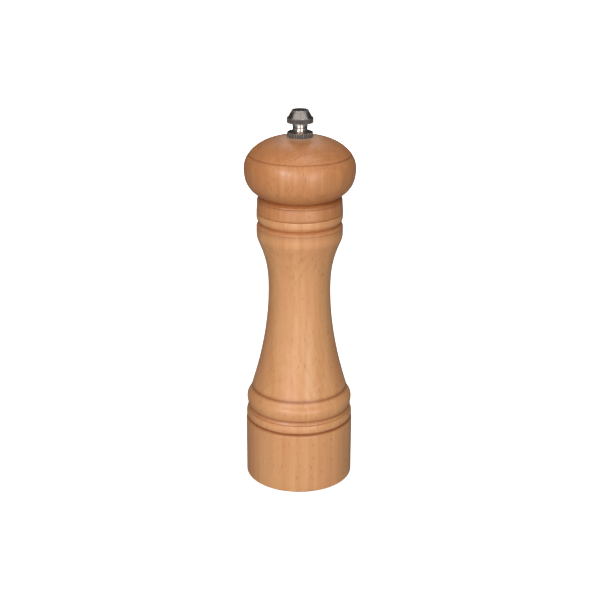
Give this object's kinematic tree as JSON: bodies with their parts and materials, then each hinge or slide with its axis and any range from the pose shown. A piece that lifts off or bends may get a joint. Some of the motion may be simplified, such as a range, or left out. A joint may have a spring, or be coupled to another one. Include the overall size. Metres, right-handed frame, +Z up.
{
  "type": "pepper mill",
  "caption": "Turned wooden pepper mill with a waisted body, a ball-shaped turning head, a metal adjusting knob on top and a steel burr grinder inside the foot.",
  "frame": {"origin": "centre of the flat underside of the foot, which rests on the table", "axes": "+Z up along the turning axis, from the foot to the adjusting knob; the bridge over the burrs runs along X"},
  "size_m": [0.058, 0.058, 0.2028],
  "materials": {
    "body_wood": "satin clear-coated beech, grain along the axis",
    "head_wood": "satin clear-coated beech, a little redder than the body",
    "knob_metal": "plated, turned and lightly brushed",
    "plated_steel": "zinc plated sheet and wire",
    "bright_steel": "drawn, bright",
    "burr_steel": "hardened, dark, lightly oiled",
    "brass": "turned"
  },
  "bodies": {
    "mill_body": {"body": "body_wood", "burr_housing": "plated_steel", "stator": "burr_steel", "housing_screws": "plated_steel", "bridge": "plated_steel", "bridge_rivets": "bright_steel", "shaft_bush": "brass"},
    "spring_pack": {"spring": "bright_steel", "thrust_washer": "brass"},
    "drive_train": {"spring_seat": "plated_steel", "drive_shaft": "bright_steel", "rotor": "burr_steel", "rotor_washer": "bright_steel", "rotor_nut": "bright_steel", "stop_clip": "plated_steel"},
    "head": {"head": "head_wood", "drive_plate": "plated_steel", "drive_plate_screws": "bright_steel"},
    "collar": {"knurled_collar": "knob_metal"},
    "knob": {"adjusting_knob": "knob_metal"}
  },
  "joints": [
    {"name": "head_spin", "type": "hinge", "parent": "mill_body", "child": "spring_pack", "pos_m": [0, 0, 0], "axis": [0, 0, 1], "continuous": true},
    {"name": "grind_adjust", "type": "slide", "parent": "spring_pack", "child": "drive_train", "axis": [0, 0, 1], "range_m": [-0.0012, 0.0008], "deforming": ["spring"]},
    {"name": "head_lift", "type": "slide", "parent": "spring_pack", "child": "head", "axis": [0, 0, 1], "range_m": [0, 0.075]},
    {"name": "knob_lift", "type": "slide", "parent": "head", "child": "collar", "axis": [0, 0, 1], "range_m": [0, 0.02]},
    {"name": "knob_turn", "type": "hinge", "parent": "collar", "child": "knob", "pos_m": [0, 0, 0.194], "axis": [0, 0, 1], "range_deg": [-360, 540]}
  ],
  "couplings": [
    {"joint": "knob_turn", "follows": "grind_adjust", "rad_per_m": -7854}
  ]
}
